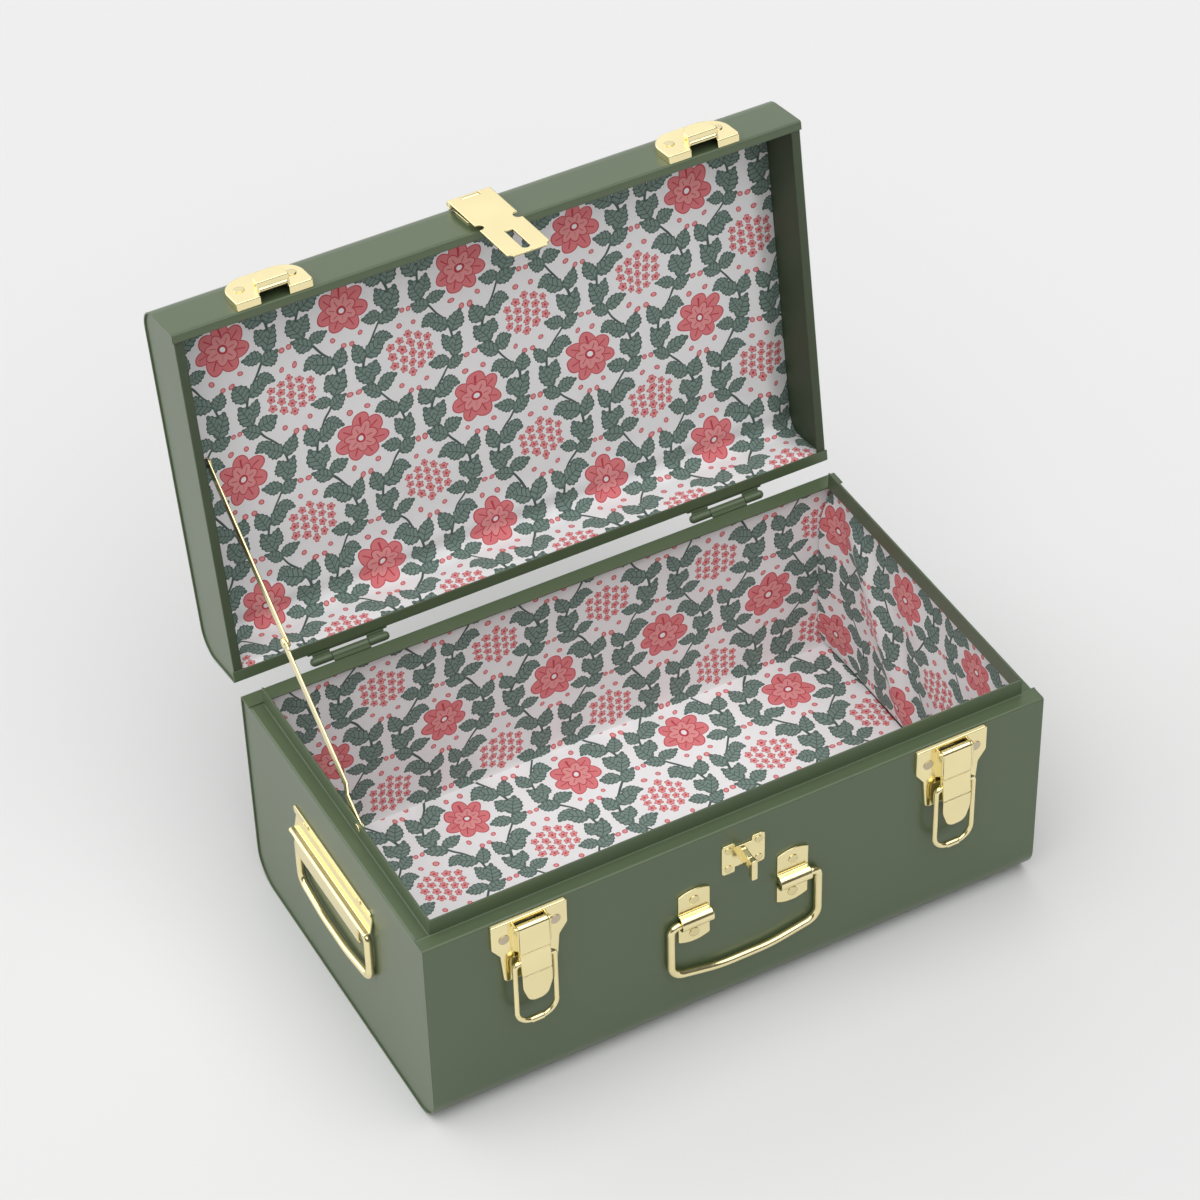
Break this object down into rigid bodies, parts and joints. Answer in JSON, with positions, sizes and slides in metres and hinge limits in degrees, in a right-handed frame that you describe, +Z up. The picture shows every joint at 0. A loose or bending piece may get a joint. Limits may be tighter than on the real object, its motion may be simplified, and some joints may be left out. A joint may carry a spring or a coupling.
{
  "type": "storage trunk",
  "caption": "Small sheet-steel storage trunk with a hinged lid on a folding stay, brass draw latches, a hasp with a turn-button lock, carrying handles and a cloth lining.",
  "frame": {"origin": "centre of the flat base, on the floor", "axes": "+X along the length to the right as seen from the front, -Y to the front, +Z up"},
  "size_m": [0.3712, 0.2992, 0.3523],
  "materials": {
    "green_paint": "satin",
    "brass_plate": "polished plate",
    "rivet_steel": "dull plate",
    "pin_steel": "bright",
    "lining_cloth": "printed cotton, matt",
    "black_plastic": "matt"
  },
  "bodies": {
    "trunk": {"body_wrap": "green_paint", "body_left_end": "green_paint", "body_right_end": "green_paint", "floor_lining": "lining_cloth", "front_lining": "lining_cloth", "back_lining": "lining_cloth", "left_lining": "lining_cloth", "right_lining": "lining_cloth", "left_hinge_body_leaf": "green_paint", "right_hinge_body_leaf": "green_paint", "left_hinge_pin": "pin_steel", "right_hinge_pin": "pin_steel", "left_latch_plate": "brass_plate", "right_latch_plate": "brass_plate", "left_latch_pin": "brass_plate", "right_latch_pin": "brass_plate", "left_latch_rivets": "rivet_steel", "right_latch_rivets": "rivet_steel", "lock_plate": "brass_plate", "lock_rivets": "brass_plate", "front_handle_left_bracket": "brass_plate", "front_handle_right_bracket": "brass_plate", "front_handle_rivets": "brass_plate", "left_handle_bracket": "brass_plate", "right_handle_bracket": "brass_plate", "left_handle_rivets": "brass_plate", "right_handle_rivets": "brass_plate", "stay_body_rivet": "brass_plate"},
    "lid": {"lid_wrap": "green_paint", "lid_left_end": "green_paint", "lid_right_end": "green_paint", "lid_lining": "lining_cloth", "left_hinge_lid_leaf": "green_paint", "right_hinge_lid_leaf": "green_paint", "left_catch": "brass_plate", "right_catch": "brass_plate", "left_catch_rivets": "brass_plate", "right_catch_rivets": "brass_plate", "hasp_leaf": "brass_plate", "hasp_pin": "brass_plate", "hasp_rivets": "brass_plate", "stay_lid_spacer": "black_plastic", "stay_lid_rivet": "brass_plate"},
    "hasp": {"hasp_strap": "brass_plate"},
    "stay_lower": {"stay_lower_link": "brass_plate"},
    "stay_upper": {"stay_upper_link": "brass_plate"},
    "toggle": {"lock_toggle": "brass_plate"},
    "front_bail": {"front_handle_bail": "brass_plate"},
    "left_bail": {"left_handle_bail": "brass_plate"},
    "right_bail": {"right_handle_bail": "brass_plate"},
    "left_lever": {"left_latch_lever": "brass_plate"},
    "right_lever": {"right_latch_lever": "brass_plate"},
    "left_loop": {"left_latch_loop": "brass_plate"},
    "right_loop": {"right_latch_loop": "brass_plate"}
  },
  "joints": [
    {"name": "lid_swing", "type": "hinge", "parent": "trunk", "child": "lid", "pos_m": [0, 0.1092, 0.1296], "axis": [1, 0, 0], "range_deg": [0, 99.2]},
    {"name": "hasp_swing", "type": "hinge", "parent": "lid", "child": "hasp", "pos_m": [0, 0.17352, 0.33911], "axis": [-1, 0, 0], "range_deg": [0, 170]},
    {"name": "stay_lower_fold", "type": "hinge", "parent": "trunk", "child": "stay_lower", "pos_m": [-0.1699, -0.01767, 0.13536], "axis": [1, 0, 0], "range_deg": [-36.3, 0]},
    {"name": "stay_upper_fold", "type": "hinge", "parent": "lid", "child": "stay_upper", "pos_m": [-0.1666, 0.14958, 0.25001], "axis": [1, 0, 0], "range_deg": [0, 36.3]},
    {"name": "toggle_turn", "type": "hinge", "parent": "trunk", "child": "toggle", "pos_m": [0, -0.114, 0.1078], "axis": [0, 1, 0], "range_deg": [-90, 90]},
    {"name": "front_bail_swing", "type": "hinge", "parent": "trunk", "child": "front_bail", "pos_m": [0, -0.1076, 0.077], "axis": [-1, 0, 0], "range_deg": [0, 105]},
    {"name": "left_bail_swing", "type": "hinge", "parent": "trunk", "child": "left_bail", "pos_m": [-0.1818, -0.0015, 0.084], "axis": [0, 1, 0], "range_deg": [0, 95]},
    {"name": "right_bail_swing", "type": "hinge", "parent": "trunk", "child": "right_bail", "pos_m": [0.1818, -0.0015, 0.084], "axis": [0, -1, 0], "range_deg": [0, 95]},
    {"name": "left_lever_swing", "type": "hinge", "parent": "trunk", "child": "left_lever", "pos_m": [-0.1227, -0.1106, 0.1254], "axis": [1, 0, 0], "range_deg": [-110, 0]},
    {"name": "left_loop_swing", "type": "hinge", "parent": "left_lever", "child": "left_loop", "pos_m": [-0.1227, -0.1116, 0.1023], "axis": [-1, 0, 0], "range_deg": [0, 172]},
    {"name": "right_lever_swing", "type": "hinge", "parent": "trunk", "child": "right_lever", "pos_m": [0.1227, -0.1106, 0.1254], "axis": [1, 0, 0], "range_deg": [-110, 0]},
    {"name": "right_loop_swing", "type": "hinge", "parent": "right_lever", "child": "right_loop", "pos_m": [0.1227, -0.1116, 0.1023], "axis": [-1, 0, 0], "range_deg": [0, 172]}
  ],
  "couplings": [
    {"joint": "stay_lower_fold", "follows": "lid_swing", "ratio": -0.36469},
    {"joint": "stay_upper_fold", "follows": "lid_swing", "ratio": 0.36469}
  ]
}
